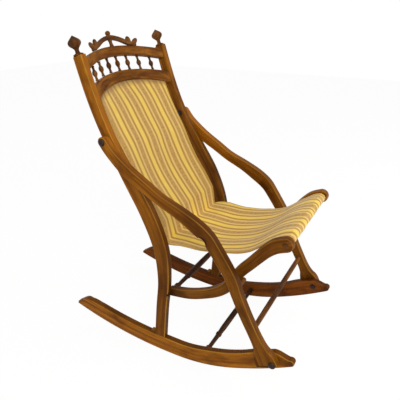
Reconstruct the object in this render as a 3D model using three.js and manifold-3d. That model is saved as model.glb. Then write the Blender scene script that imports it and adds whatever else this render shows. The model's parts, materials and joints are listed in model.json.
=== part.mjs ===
// Folding rocking chair of turned and bent wood with a striped sling seat.
// Millimetres, +Z up, +X to the sitter's left, -Y to the front.
// The origin is on the floor under the middle of the chair.
import * as THREE from "three";
import { mergeVertices } from "three/addons/utils/BufferGeometryUtils.js";
import Module from "manifold-3d";

const wasm = await Module();
wasm.setup();

// Widths across the chair, from the middle plane outward
const clearHalf = 178;
const stileThick = 20;
const armThick = 22;
const railThick = 19;
const layerGap = 0.4;
const seatGap = 0.3;
const overrun = 30;

// The arms' reach from the foot to the back pivot. The back and the seat are placed from that pivot
const armRise = 539;
const armReach = 488;
const armFootY = -306;
const armFootZ = 109;
const armPivot = { y: armFootY + armReach, z: armFootZ + armRise };

// Back stiles: an S seen from the side, from the foot on the rocker to the finial
const stileRise = 802;
const stileSweep = 235;
const stileWidth = 46;
const stileLowAhead = 159;
const stileLowY = armPivot.y - stileLowAhead;
const stileFootZ = 58;
const stileShares = [
  [0.09, -0.03, 0.76],
  [0.045, 0.124, 0.75],
  [0, 0.248, 0.79],
  [0.032, 0.373, 0.95],
  [0.194, 0.497, 1],
  [0.443, 0.621, 0.86],
  [0.681, 0.745, 0.68],
  [0.86, 0.87, 0.68],
  [1.03, 1.03, 0.64],
];

// Arms, bent down into the front legs
const armWidth = 38;
const scoopPlaceShare = 0.585;
const scoopRadius = 16;
const scoopDepth = 10;
const armShares = [
  [0, 0, 1.63],
  [0.02, 0.041, 1.52],
  [0.035, 0.066, 1.2],
  [0.049, 0.092, 0.9],
  [0.07, 0.128, 0.77],
  [0.093, 0.167, 0.74],
  [0.147, 0.262, 0.76],
  [0.192, 0.353, 0.79],
  [0.234, 0.443, 0.85],
  [0.328, 0.571, 0.9],
  [0.375, 0.622, 0.97],
  [0.445, 0.666, 0.98],
  [0.539, 0.712, 0.84],
  [0.648, 0.756, 0.77],
  [0.738, 0.805, 0.8],
  [0.851, 0.867, 0.86],
  [0.95, 0.944, 0.74],
  [1, 1, 0.74],
];

// Seat rails: an S from the front bar back to the rod that turns in the stiles
const seatPivotAhead = 173;
const railFrontY = -316;
const railReach = armPivot.y - seatPivotAhead - railFrontY;
const railRise = 242;
const railWidth = 38;
const railRearZ = 211;
const railShares = [
  [0, 1, 1],
  [0.077, 0.955, 0.97],
  [0.142, 0.88, 0.87],
  [0.203, 0.785, 0.82],
  [0.271, 0.674, 0.79],
  [0.335, 0.574, 0.79],
  [0.382, 0.483, 0.79],
  [0.455, 0.32, 0.79],
  [0.542, 0.211, 0.79],
  [0.665, 0.12, 0.75],
  [0.825, 0.041, 0.76],
  [1, 0, 0.7],
];

// Rockers: short flats on arcs to both sides of one flat that is level on the floor
const levelFlatY = -1;
const flatLength = 17.6;
const noseRadius = 520;
const noseFlatCount = 11;
const treadRadius = 1150;
const frontFlatCount = 11;
const rearFlatCount = 21;
const frontArcs = [
  { radius: noseRadius, flats: noseFlatCount },
  { radius: treadRadius, flats: frontFlatCount },
];
const rearArcs = [{ radius: treadRadius, flats: rearFlatCount }];
const rockerDepth = 51;
const noseDepthShares = [0.22, 0.94, 1.04, 0.99, 0.98, 1, 1, 0.97];
const tailDepthShares = [0.97, 1, 1, 1, 1, 0.98, 0.98, 0.9, 0.62, 0.16];
const legPivotAhead = 14;
const legPivotAbove = 12;

// Edge rounding of the bent side pieces
const edgeRound = 3;

// Back gallery: rails bowed to the rear, arched in front view, with turned spindles
const galleryBehind = 22;
const galleryY = armPivot.y + galleryBehind;
const galleryZ = 700;
const galleryLean = THREE.MathUtils.degToRad(19.1);
const bowDepth = 39;
const bandShares = [-1.15, -0.9, -0.6, -0.3, 0, 0.3, 0.6, 0.9, 1.15];
const archSteps = 16;
const galleryThick = 18;
const stileTop = 167;
const crestHigh = { end: 155, middle: 188 };
const crestLow = { end: 126, middle: 160 };
const lowerHigh = { end: 83, middle: 117 };
const lowerLow = { end: 47, middle: 86 };
const spindleCount = 7;
const spindleRadius = 7;
const spindleSides = 12;
const spindleShares = [
  [0, 0.68],
  [0.08, 0.68],
  [0.12, 0.46],
  [0.28, 0.52],
  [0.38, 0.82],
  [0.5, 1],
  [0.62, 0.82],
  [0.72, 0.52],
  [0.88, 0.46],
  [0.92, 0.68],
  [1, 0.68],
];
const finialHeight = 51;
const finialRadius = 17;
const finialShares = [
  [0, 0.8],
  [0.06, 0.74],
  [0.12, 0.42],
  [0.2, 0.33],
  [0.3, 0.34],
  [0.39, 0.52],
  [0.5, 0.85],
  [0.61, 1],
  [0.71, 0.95],
  [0.84, 0.62],
  [0.93, 0.3],
  [1, 0],
];

// Crest ornament: a bow with scrolled ends, a turned post and a ball
const crestThick = 13;
const crestBand = 11;
const crestHalf = 92;
const crestFoot = 183;
const crestRise = 31;
const crestShares = [
  [-1, 0.03],
  [-0.74, 0.3],
  [-0.38, 0.78],
  [0, 1],
  [0.38, 0.78],
  [0.74, 0.3],
  [1, 0.03],
];
const scrollWidth = 16;
const innerScrollShares = [
  [0.84, 0.15],
  [0.82, 0.66],
];
const outerScrollShares = [
  [0.94, 0.1],
  [1.06, 0.42],
];
const crestPostRadius = 7.5;
const postShares = [
  [0, 1],
  [0.18, 1],
  [0.3, 0.8],
  [0.7, 0.8],
  [0.84, 0.95],
  [1, 0.95],
];
const crestBallRadius = 7.5;
const crestBallHeight = 14;
const ballShares = [
  [0, 0.5],
  [0.1, 0.5],
  [0.22, 0.8],
  [0.48, 1],
  [0.74, 0.85],
  [0.92, 0.45],
  [1, 0],
];

// Rods and bars across the chair
const boreGap = 0.3;
const tenonRadius = 6;
const tenonDepth = 13;
const frontStretcher = { y: -259, z: 204, radius: 7.5 };
const rockerStretcher = { y: -105, z: 36, radius: 9 };
const slingBarAhead = 141;
const slingBar = { y: armPivot.y - slingBarAhead, z: 365, radius: 7 };
const seatBarRadius = 11;
const seatRodRadius = 9;
const seatPinRadius = 5;
const seatPinReach = 14;
const plainRodShares = [
  [0, 1],
  [0.6, 0.97],
  [1, 0.9],
];
const turnedRodShares = [
  [0, 1],
  [0.3, 0.98],
  [0.46, 0.82],
  [0.5, 1.02],
  [0.54, 0.78],
  [0.8, 0.7],
  [0.86, 0.75],
  [0.89, 1.05],
  [0.93, 1.05],
  [0.96, 0.72],
  [1, 0.8],
];

// Pivot pins with domed heads, and the washers under their hammered ends
const pinRadius = 4;
const pinHeadRadius = 10;
const pinHeadHeight = 6;
const pinTailRadius = 6;
const pinTailHeight = 2.5;
const pinDomeShares = [
  [0.3, 1],
  [0.65, 0.82],
  [0.9, 0.45],
  [1, 0],
];
const washerRadius = 9;
const washerThick = 2;

// Pegs under the seat rails and cleats behind the stile feet
const pegRadius = 6;
const pegPlaceShare = 0.55;
const cleatLength = 13;
const cleatHeight = 9;
const cleatAhead = 112;
const cleatY = armPivot.y - cleatAhead;

// Striped cloth: one sling down the back and over the seat
const clothThick = 3;
const seatClothRoom = 4.6;
const seatClothHalf = clearHalf - layerGap - railThick - seatClothRoom;
const backTopRoom = 20;
const backTopHalf = clearHalf - backTopRoom;
const backFootRoom = 32;
const backFootHalf = clearHalf - backFootRoom;
const clothColumns = 12;
const clothRows = 20;
const clothSteps = 30;
const backClothSag = 12;
const clothKneeRise = 57;
const clothKneeBehind = 8;
const clothKneeShare = 0.86;
const seatClothShares = [
  [0, 0],
  [0.12, -0.05],
  [0.21, -0.09],
  [0.32, -0.1],
  [0.44, -0.02],
  [0.55, 0.1],
  [0.645, 0.24],
  [0.74, 0.45],
  [0.85, 0.77],
  [0.935, 0.94],
];
const wrapStart = THREE.MathUtils.degToRad(75);
const wrapTurn = THREE.MathUtils.degToRad(250);
const wrapSteps = 11;

const roundSides = 16;
const ribbonSteps = 24;
const armSteps = 36;

const wood = { colour: 0x96601c, roughness: 0.42, metalness: 0 };
const cloth = { colour: 0xe2c078, roughness: 0.95, metalness: 0 };
const iron = { colour: 0x2c2622, roughness: 0.5, metalness: 0.7 };

// Places along a bent piece, worked out from its shares: x and y in its own view, width as z
function stations(shares, start, span) {
  return shares.map(
    ([reach, rise, width]) =>
      new THREE.Vector3(start.y + reach * span.reach, start.z + rise * span.rise, width * span.width),
  );
}

// A curved strip of changing width: its two edges and its middle line
function ribbon(places, steps) {
  const path = new THREE.SplineCurve(places.map((place) => new THREE.Vector2(place.x, place.y)));
  const breadth = new THREE.SplineCurve(places.map((place, i) => new THREE.Vector2(i, place.z)));
  const edge = (share, side, clearance = 0) => {
    const along = path.getTangent(share);
    const offset = side * (breadth.getPoint(share).y / 2 + clearance);
    return path.getPoint(share).add(new THREE.Vector2(-along.y, along.x).multiplyScalar(offset));
  };
  const shares = Array.from({ length: steps + 1 }, (_, i) => i / steps);
  const [left, right] = [1, -1].map((side) => shares.map((share) => edge(share, side)));
  return { edge, left, right };
}

// Half circle that closes a strip from its right edge round to its left, or back
function roundEnd(from, to) {
  const centre = from.clone().add(to).multiplyScalar(0.5);
  const spoke = from.clone().sub(centre);
  const turns = roundSides / 2;
  return Array.from({ length: turns - 1 }, (_, i) =>
    spoke.clone().rotateAround(new THREE.Vector2(), (-Math.PI * (i + 1)) / turns).add(centre),
  );
}

function stripOutline(strip, roundStart, roundFinish) {
  const finish = roundFinish ? roundEnd(strip.left.at(-1), strip.right.at(-1)) : [];
  const start = roundStart ? roundEnd(strip.right[0], strip.left[0]) : [];
  return [...strip.left, ...finish, ...strip.right.slice().reverse(), ...start];
}

function extrusion(outline, thickness, rounding = 0) {
  const geometry = new THREE.ExtrudeGeometry(new THREE.Shape(outline), {
    depth: thickness - 2 * rounding,
    bevelEnabled: rounding > 0,
    bevelThickness: rounding,
    bevelSize: rounding,
    bevelOffset: -rounding,
    bevelSegments: 1,
  });
  return geometry.translate(0, 0, rounding);
}

const alongX = new THREE.Vector3(1, 0, 0);
const alongY = new THREE.Vector3(0, 1, 0);
const alongZ = new THREE.Vector3(0, 0, 1);
const sideView = new THREE.Matrix4().makeBasis(alongY, alongZ, alongX);
const frontView = new THREE.Matrix4().makeBasis(alongX, alongZ, alongY.clone().negate());

// A board cut to an outline in the side view, its thickness along X from zero
function board(outline, thickness, rounding) {
  return extrusion(outline, thickness, rounding).applyMatrix4(sideView);
}

// A piece turned on the lathe along +Z, from a profile of lengths and radii
function turned(profile, sides = roundSides) {
  const points = profile.map(([along, radius]) => new THREE.Vector2(radius, along));
  if (points[0].x > 0) points.unshift(new THREE.Vector2(0, points[0].y));
  if (points.at(-1).x > 0) points.push(new THREE.Vector2(0, points.at(-1).y));
  return new THREE.LatheGeometry(points, sides).rotateX(Math.PI / 2);
}

// A rod across the chair, the same to both sides, with tenons at its ends
function crossRod(half, radius, tenon, shares) {
  const side = shares.map(([along, wide]) => [along * half, wide * radius]);
  const end = [
    [half, tenon.radius],
    [half + tenon.length, tenon.radius],
  ];
  const right = [...side, ...end];
  const left = right
    .slice()
    .reverse()
    .map(([along, wide]) => [-along, wide]);
  return turned([...left, ...right]).rotateY(Math.PI / 2);
}

function solid(geometry) {
  const bare = geometry.clone();
  bare.deleteAttribute("normal");
  bare.deleteAttribute("uv");
  const merged = mergeVertices(bare);
  return new wasm.Manifold(
    new wasm.Mesh({
      numProp: 3,
      vertProperties: merged.attributes.position.array,
      triVerts: Uint32Array.from(merged.index.array),
    }),
  );
}

function geometryOf(body) {
  const mesh = body.getMesh();
  const indexed = new THREE.BufferGeometry();
  indexed.setAttribute("position", new THREE.BufferAttribute(mesh.vertProperties, 3));
  indexed.setIndex(new THREE.BufferAttribute(mesh.triVerts, 1));
  const geometry = indexed.toNonIndexed();
  geometry.computeVertexNormals();
  return geometry;
}

function cut(geometry, ...tools) {
  return geometryOf(tools.reduce((body, tool) => body.subtract(solid(tool)), solid(geometry)));
}

// A round hole along X through a side piece, from one depth to another
function bore(place, radius, from, to) {
  const drill = new THREE.CylinderGeometry(radius, radius, to - from, roundSides).rotateZ(Math.PI / 2);
  return drill.translate((from + to) / 2, place.y, place.z);
}

const chair = new THREE.Group();

function add(name, geometry, look, group = chair) {
  const { colour, roughness, metalness } = look;
  const material = new THREE.MeshStandardMaterial({ color: colour, roughness, metalness });
  const mesh = new THREE.Mesh(geometry, material);
  mesh.name = name;
  group.add(mesh);
  return mesh;
}

// A piece on each side of the chair, its inner face at the given distance from the middle
function addSides(name, geometry, look, inner, place = { y: 0, z: 0 }, group = chair) {
  add(`${name}_left`, geometry, look, group).position.set(inner, place.y, place.z);
  const right = add(`${name}_right`, geometry.clone(), look, group);
  right.position.set(-inner, place.y, place.z);
  right.scale.x = -1;
}

// Layers across the chair
const armInner = clearHalf + stileThick + layerGap;
const armOuter = armInner + armThick;
const railOuter = clearHalf - layerGap;
const railInner = railOuter - railThick;

// Side strips
const stileStart = { y: stileLowY, z: stileFootZ };
const stileSpan = { reach: stileSweep, rise: stileRise, width: stileWidth };
const stileStrip = ribbon(stations(stileShares, stileStart, stileSpan), ribbonSteps);
const armStart = { y: armFootY, z: armFootZ };
const armStrip = ribbon(
  stations(armShares, armStart, { reach: armReach, rise: armRise, width: armWidth }),
  armSteps,
);
const railStart = { y: railFrontY, z: railRearZ };
const railStrip = ribbon(
  stations(railShares, railStart, { reach: railReach, rise: railRise, width: railWidth }),
  ribbonSteps,
);

// Pivots and places that follow from the side strips
const legPivot = { y: armFootY - legPivotAhead, z: armFootZ + legPivotAbove };
const seatPivot = { y: railFrontY + railReach, z: railRearZ };
const frontBar = { y: railFrontY, z: railRearZ + railRise };
const peg = placeOf(railStrip.edge(pegPlaceShare, -1, pegRadius + seatGap));
const scoop = placeOf(armStrip.edge(scoopPlaceShare, -1));

function placeOf(point) {
  return { y: point.x, z: point.y };
}

// Corners of a rocker's underside from the level flat outward, each with its direction into the wood
function walkArcs(side, arcs) {
  const turns = arcs.flatMap(({ radius, flats }) => Array(flats).fill(flatLength / radius));
  const point = new THREE.Vector2(levelFlatY + (side * flatLength) / 2, 0);
  let slope = 0;
  const inwardAt = (angle) => new THREE.Vector2(-side * Math.sin(angle), Math.cos(angle));
  const corners = turns.map((turn) => {
    const corner = { low: point.clone(), inward: inwardAt(slope + turn / 2) };
    slope += turn;
    point.add(new THREE.Vector2(side * Math.cos(slope), Math.sin(slope)).multiplyScalar(flatLength));
    return corner;
  });
  return [...corners, { low: point, inward: inwardAt(slope + turns.at(-1) / 2) }];
}

// Rockers
function rockerStrip() {
  const depths = [...noseDepthShares, ...tailDepthShares];
  const depthCurve = new THREE.SplineCurve(depths.map((share, i) => new THREE.Vector2(i, share)));
  const corners = [...walkArcs(-1, frontArcs).reverse(), ...walkArcs(1, rearArcs)];
  const high = corners.map(({ low, inward }, i) => {
    const depth = rockerDepth * depthCurve.getPoint(i / (corners.length - 1)).y;
    return low.clone().add(inward.clone().multiplyScalar(depth));
  });
  return { left: high, right: corners.map(({ low }) => low) };
}

const rockerEdges = rockerStrip();
const rocker = cut(
  board(stripOutline(rockerEdges, true, false), stileThick, edgeRound),
  bore(legPivot, pinRadius + boreGap, -overrun, stileThick + overrun),
  bore(rockerStretcher, tenonRadius + boreGap, -overrun, tenonDepth),
);
addSides("rocker", rocker, wood, clearHalf);

const stretcherHalf = clearHalf - seatGap;
const sideTenon = { radius: tenonRadius, length: tenonDepth - seatGap };
const lowRod = crossRod(stretcherHalf, rockerStretcher.radius, sideTenon, turnedRodShares);
add("rocker_stretcher", lowRod, wood).position.set(0, rockerStretcher.y, rockerStretcher.z);

// What stands on the rockers is cut to their top edge, a little clear of it
const rockerTop = board(
  [
    ...rockerEdges.left.map((point) => point.clone().add(new THREE.Vector2(0, seatGap))),
    new THREE.Vector2(rockerEdges.left.at(-1).x, -overrun),
    new THREE.Vector2(rockerEdges.left[0].x, -overrun),
  ],
  stileThick + 2 * overrun,
).translate(-overrun, 0, 0);
const cleatBlock = new THREE.BoxGeometry(stileThick - 2 * edgeRound, cleatLength, 2 * cleatHeight);
const cleatTop = rockerTopAt(cleatY) + cleatHeight;
cleatBlock.translate(stileThick / 2, cleatY, cleatTop - cleatHeight);
addSides("foot_cleat", cut(cleatBlock, rockerTop), wood, clearHalf);

function rockerTopAt(y) {
  const after = rockerEdges.left.findIndex((point) => point.x > y);
  const [a, b] = [rockerEdges.left[after - 1], rockerEdges.left[after]];
  return a.y + ((b.y - a.y) * (y - a.x)) / (b.x - a.x);
}

// Stiles, notched at the front for the pins of the seat rod
const galleryTurn = new THREE.Matrix4().makeRotationX(-galleryLean).setPosition(0, galleryY, galleryZ);
const topBlock = new THREE.BoxGeometry(4 * overrun, 4 * overrun, 2 * overrun);
topBlock.translate(0, 0, stileTop + overrun).applyMatrix4(galleryTurn);
const notchRadius = seatPinRadius + boreGap;
const notchSlot = new THREE.BoxGeometry(4 * overrun, overrun, 2 * notchRadius);
notchSlot.translate(0, seatPivot.y - overrun / 2, seatPivot.z);
const stile = cut(
  board(stripOutline(stileStrip, false, false), stileThick, edgeRound),
  rockerTop,
  topBlock,
  notchSlot,
  bore(seatPivot, notchRadius, -overrun, stileThick + overrun),
  bore(armPivot, pinRadius + boreGap, -overrun, stileThick + overrun),
  bore(slingBar, tenonRadius + boreGap, -overrun, tenonDepth),
);
addSides("stile", stile, wood, clearHalf);

const rearBar = crossRod(stretcherHalf, slingBar.radius, sideTenon, plainRodShares);
add("rear_sling_bar", rearBar, wood).position.set(0, slingBar.y, slingBar.z);

// Arms with the front legs in one piece, scooped out of the outer face under the bend
const scoopTool = new THREE.SphereGeometry(scoopRadius, roundSides, roundSides / 2);
scoopTool.scale(scoopDepth / scoopRadius, 1, 1).translate(armThick, scoop.y, scoop.z);
const arm = cut(
  board(stripOutline(armStrip, false, true), armThick, edgeRound),
  bore(armPivot, pinRadius + boreGap, -overrun, armThick + overrun),
  bore(legPivot, pinRadius + boreGap, -overrun, armThick + overrun),
  bore(frontStretcher, tenonRadius + boreGap, -overrun, tenonDepth),
  bore(peg, pegRadius + boreGap, -overrun, tenonDepth),
  scoopTool,
);
addSides("arm", arm, wood, armInner);

const legTenon = { radius: tenonRadius, length: tenonDepth - seatGap };
add("front_stretcher", crossRod(armInner - seatGap, frontStretcher.radius, legTenon, plainRodShares), wood)
  .position.set(0, frontStretcher.y, frontStretcher.z);

const pegLength = armInner - railInner + tenonDepth - seatGap;
const pegProfile = [
  [0, pegRadius - edgeRound],
  [edgeRound / 2, pegRadius],
  [pegLength, pegRadius],
];
addSides("seat_peg", turned(pegProfile).rotateY(Math.PI / 2), wood, railInner, peg);

// Seat rails with the bars between them
const rail = cut(
  board(stripOutline(railStrip, true, true), railThick, edgeRound),
  bore(frontBar, tenonRadius + boreGap, -overrun, railThick + overrun),
  bore(seatPivot, seatPinRadius + boreGap, -overrun, railThick + overrun),
);
addSides("seat_rail", rail, wood, railInner);

const railHalf = railInner - seatGap;
const railTenon = { radius: tenonRadius, length: railThick + 2 * seatGap };
add("front_seat_bar", crossRod(railHalf, seatBarRadius, railTenon, plainRodShares), wood).position.set(
  0,
  frontBar.y,
  frontBar.z,
);
const seatPin = { radius: seatPinRadius, length: clearHalf + seatPinReach - railHalf };
add("rear_seat_rod", crossRod(railHalf, seatRodRadius, seatPin, turnedRodShares), wood).position.set(
  0,
  seatPivot.y,
  seatPivot.z,
);

// Pivot pins: a domed head outside the arm, a hammered end on a washer inside
const gripLength = armOuter - clearHalf + washerThick + 3 * seatGap;
const headStart = pinTailHeight + gripLength;
const pinProfile = [
  [0, pinTailRadius / 2],
  [pinTailHeight / 2, pinTailRadius],
  [pinTailHeight, pinTailRadius],
  [pinTailHeight, pinRadius],
  [headStart, pinRadius],
  [headStart, pinHeadRadius],
  ...pinDomeShares.map(([rise, wide]) => [headStart + rise * pinHeadHeight, wide * pinHeadRadius]),
];
const washerHole = pinRadius + boreGap;
const washerRing = [
  new THREE.Vector2(washerHole, 0),
  new THREE.Vector2(washerRadius, 0),
  new THREE.Vector2(washerRadius, washerThick),
  new THREE.Vector2(washerHole, washerThick),
  new THREE.Vector2(washerHole, 0),
];
const pin = turned(pinProfile).rotateY(Math.PI / 2);
const washer = new THREE.LatheGeometry(washerRing, roundSides).rotateZ(-Math.PI / 2);
const washerStart = clearHalf - seatGap - washerThick;
const pinStart = washerStart - seatGap - pinTailHeight;
for (const [name, place] of [
  ["arm", armPivot],
  ["rocker", legPivot],
]) {
  addSides(`${name}_pin`, pin.clone(), iron, pinStart, place);
  addSides(`${name}_washer`, washer.clone(), iron, washerStart, place);
}

// Back gallery, built upright in its own group and leaned back with the stiles
const gallery = new THREE.Group();
gallery.position.set(0, galleryY, galleryZ);
gallery.rotation.x = -galleryLean;
chair.add(gallery);

const arch = (end, middle) => (x) => end + (middle - end) * (1 - (x / clearHalf) ** 2);
const bowAt = arch(0, bowDepth);

// A band standing upright and bowed to the rear in plan
function bowedBand(thickness) {
  const places = bandShares.map((share) => {
    const x = share * clearHalf;
    return new THREE.Vector3(x, bowAt(x), thickness);
  });
  const outline = stripOutline(ribbon(places, ribbonSteps), false, false);
  return solid(extrusion(outline, 2 * stileTop));
}

// A front view outline pushed through the depth of the gallery
function frontPanel(outline) {
  const depth = 4 * bowDepth;
  return solid(extrusion(outline, depth).applyMatrix4(frontView).translate(0, depth / 2, 0));
}

function archEdge(height) {
  const half = clearHalf - seatGap;
  return Array.from({ length: archSteps + 1 }, (_, i) => {
    const x = half * ((2 * i) / archSteps - 1);
    return new THREE.Vector2(x, height(x));
  });
}

const railBand = bowedBand(galleryThick);
for (const [name, high, low] of [
  ["crest_rail", crestHigh, crestLow],
  ["lower_back_rail", lowerHigh, lowerLow],
]) {
  const lowEdge = archEdge(arch(low.end, low.middle));
  const highEdge = archEdge(arch(high.end, high.middle));
  const outline = [...lowEdge, ...highEdge.reverse()];
  add(name, geometryOf(railBand.intersect(frontPanel(outline))), wood, gallery);
}

// Spindles between the two gallery rails
const spindleFoot = arch(lowerHigh.end, lowerHigh.middle);
const spindleHead = arch(crestLow.end, crestLow.middle);
const spindleEnd = spindleRadius * spindleShares.at(0).at(1);
for (let i = 1; i <= spindleCount; i++) {
  const x = clearHalf * ((2 * i) / (spindleCount + 1) - 1);
  const innerEdge = Math.max(Math.abs(x) - spindleEnd, 0);
  const outerEdge = Math.abs(x) + spindleEnd;
  const foot = spindleFoot(innerEdge) + seatGap;
  const length = spindleHead(outerEdge) - seatGap - foot;
  const profile = spindleShares.map(([along, wide]) => [along * length, wide * spindleRadius]);
  add(`spindle_${i}`, turned(profile, spindleSides), wood, gallery).position.set(x, bowAt(x), foot);
}

// Crest ornament above the crest rail
const ornamentStrip = (shares, width, steps) => {
  const span = { reach: crestHalf, rise: crestRise, width };
  const places = stations(shares.map(([reach, rise]) => [reach, rise, 1]), { y: 0, z: crestFoot }, span);
  return stripOutline(ribbon(places, steps), true, true);
};
const ornamentParts = [
  ornamentStrip(crestShares, crestBand, ribbonSteps),
  ...[-1, 1].flatMap((side) =>
    [innerScrollShares, outerScrollShares].map((shares) =>
      ornamentStrip(shares.map(([reach, rise]) => [side * reach, rise]), scrollWidth, 1),
    ),
  ),
];
const crestSeat = arch(crestHigh.end + seatGap, crestHigh.middle + seatGap);
const underCrest = frontPanel([
  new THREE.Vector2(-clearHalf, 0),
  new THREE.Vector2(clearHalf, 0),
  ...archEdge(crestSeat).reverse(),
]);
const ornament = ornamentParts.map(frontPanel).reduce((joined, part) => joined.add(part));
const crestBow = ornament.subtract(underCrest).intersect(bowedBand(crestThick));
add("crest_bow", geometryOf(crestBow), wood, gallery);

const postFoot = crestHigh.middle + seatGap;
const postLength = crestFoot + crestRise - crestBand / 2 - 3 * seatGap - postFoot;
const postProfile = postShares.map(([along, wide]) => [along * postLength, wide * crestPostRadius]);
add("crest_post", turned(postProfile, spindleSides), wood, gallery).position.set(0, bowDepth, postFoot);
const ballFoot = crestFoot + crestRise + crestBand / 2 + seatGap;
const ballProfile = ballShares.map(([along, wide]) => [along * crestBallHeight, wide * crestBallRadius]);
add("crest_ball", turned(ballProfile, spindleSides), wood, gallery).position.set(0, bowDepth, ballFoot);

// Finials on the stiles
const finialProfile = finialShares.map(([along, wide]) => [along * finialHeight, wide * finialRadius]);
const finialPlace = { y: 0, z: stileTop + seatGap };
addSides("finial", turned(finialProfile), wood, clearHalf + stileThick / 2, finialPlace, gallery);

// A sheet of cloth through rows of places, closed at the back at its own thickness
function clothSheet(placeAt, across, down, behind) {
  const rows = [];
  for (let j = 0; j <= down; j++) {
    for (let i = 0; i <= across; i++) rows.push(placeAt((2 * i) / across - 1, j / down));
  }
  const front = rows.flatMap((place) => place.toArray());
  const back = rows.flatMap((place) => place.clone().add(behind).toArray());
  const faces = [];
  const quad = (a, b, c, d) => faces.push(a, b, c, a, c, d);
  const wide = across + 1;
  const layer = rows.length;
  for (let j = 0; j < down; j++) {
    for (let i = 0; i < across; i++) {
      const a = j * wide + i;
      quad(a, a + wide, a + wide + 1, a + 1);
      quad(layer + a, layer + a + 1, layer + a + wide + 1, layer + a + wide);
    }
    const first = j * wide;
    const last = first + across;
    quad(first, layer + first, layer + first + wide, first + wide);
    quad(last, last + wide, layer + last + wide, layer + last);
  }
  for (let i = 0; i < across; i++) {
    const low = down * wide + i;
    quad(i, i + 1, layer + i + 1, layer + i);
    quad(low, layer + low, layer + low + 1, low + 1);
  }
  const indexed = new THREE.BufferGeometry();
  indexed.setAttribute("position", new THREE.Float32BufferAttribute([...front, ...back], 3));
  indexed.setIndex(faces);
  const geometry = indexed.toNonIndexed();
  geometry.computeVertexNormals();
  return geometry;
}

// Back of the sling: from under the front of the bowed lower rail, straightening out to the rear bar
const clothTop = arch(lowerLow.end - clothThick / 2, lowerLow.middle - clothThick / 2);
const clothTopAhead = galleryThick / 2 - seatGap;
const backFoot = {
  y: slingBar.y - slingBar.radius - clothThick - seatGap,
  z: slingBar.z,
};
function backClothPlace(across, down) {
  const x = across * backTopHalf;
  const top = new THREE.Vector3(x, bowAt(x) - clothTopAhead, clothTop(x)).applyMatrix4(galleryTurn);
  const foot = new THREE.Vector3(across * backFootHalf, backFoot.y, backFoot.z);
  const knee = foot.clone().add(new THREE.Vector3(0, clothKneeBehind, clothKneeRise));
  if (down > clothKneeShare) return knee.lerp(foot, (down - clothKneeShare) / (1 - clothKneeShare));
  const slope = down / clothKneeShare;
  const place = top.lerp(knee, slope);
  place.y += backClothSag * Math.sin(Math.PI * slope ** 2);
  return place;
}
const clothBehind = new THREE.Vector3(0, clothThick, 0);
add("back_sling", clothSheet(backClothPlace, clothColumns, clothRows, clothBehind), cloth);

// Seat of the sling: from the rear bar over the front bar
const seatStart = {
  y: slingBar.y - slingBar.radius - seatGap,
  z: slingBar.z - clothThick / 2 - seatGap,
};
const wrapRadius = seatBarRadius + seatGap + clothThick / 2;
const clothSpan = {
  reach: frontBar.y - seatStart.y,
  rise: frontBar.z + wrapRadius - seatStart.z,
  width: clothThick,
};
const clothPlaces = stations(
  seatClothShares.map(([reach, rise]) => [reach, rise, 1]),
  seatStart,
  clothSpan,
);
for (let i = 0; i <= wrapSteps; i++) {
  const angle = wrapStart + (wrapTurn * i) / wrapSteps;
  clothPlaces.push(
    new THREE.Vector3(
      frontBar.y + wrapRadius * Math.cos(angle),
      frontBar.z + wrapRadius * Math.sin(angle),
      clothThick,
    ),
  );
}
const seatCloth = board(stripOutline(ribbon(clothPlaces, clothSteps), false, false), 2 * seatClothHalf);
add("seat_sling", seatCloth.translate(-seatClothHalf, 0, 0), cloth);

export default chair;
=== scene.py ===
"""Looks of the folding rocking chair, in metres and in the same frame as the CAD.

+Z is up, +X is the sitter's left and -Y is the front. Each bent, turned or woven piece is
built here with finer curves and rounder edges, and stands for the CAD node of its name.
"""

import json
import math

import bmesh
import bpy
import numpy as np
from mathutils import Color, Matrix, Vector


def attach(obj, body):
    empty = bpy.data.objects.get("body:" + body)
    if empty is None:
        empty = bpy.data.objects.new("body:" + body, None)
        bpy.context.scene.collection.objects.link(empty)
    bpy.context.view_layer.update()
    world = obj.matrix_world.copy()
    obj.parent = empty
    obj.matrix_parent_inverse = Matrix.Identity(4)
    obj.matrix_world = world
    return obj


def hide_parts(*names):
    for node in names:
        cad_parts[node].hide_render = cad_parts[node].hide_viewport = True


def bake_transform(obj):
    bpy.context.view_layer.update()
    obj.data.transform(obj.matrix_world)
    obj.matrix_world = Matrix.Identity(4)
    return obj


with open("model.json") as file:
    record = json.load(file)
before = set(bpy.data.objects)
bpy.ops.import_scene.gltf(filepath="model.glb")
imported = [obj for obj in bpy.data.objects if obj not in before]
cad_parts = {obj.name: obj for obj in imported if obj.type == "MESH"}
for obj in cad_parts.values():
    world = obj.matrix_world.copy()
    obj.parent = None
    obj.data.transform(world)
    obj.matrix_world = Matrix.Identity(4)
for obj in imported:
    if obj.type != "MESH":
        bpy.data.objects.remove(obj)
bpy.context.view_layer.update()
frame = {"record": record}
body_of_node = {
    node: body for body, nodes in frame["record"]["behaviour"]["bodies"].items() for node in nodes
}

# Widths across the chair, from the middle plane outward
CLEAR_HALF = 0.178
STILE_THICK = 0.020
ARM_THICK = 0.022
RAIL_THICK = 0.019
LAYER_GAP = 0.0004
SEAT_GAP = 0.0003
ARM_INNER = CLEAR_HALF + STILE_THICK + LAYER_GAP
RAIL_INNER = CLEAR_HALF - LAYER_GAP - RAIL_THICK

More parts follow.
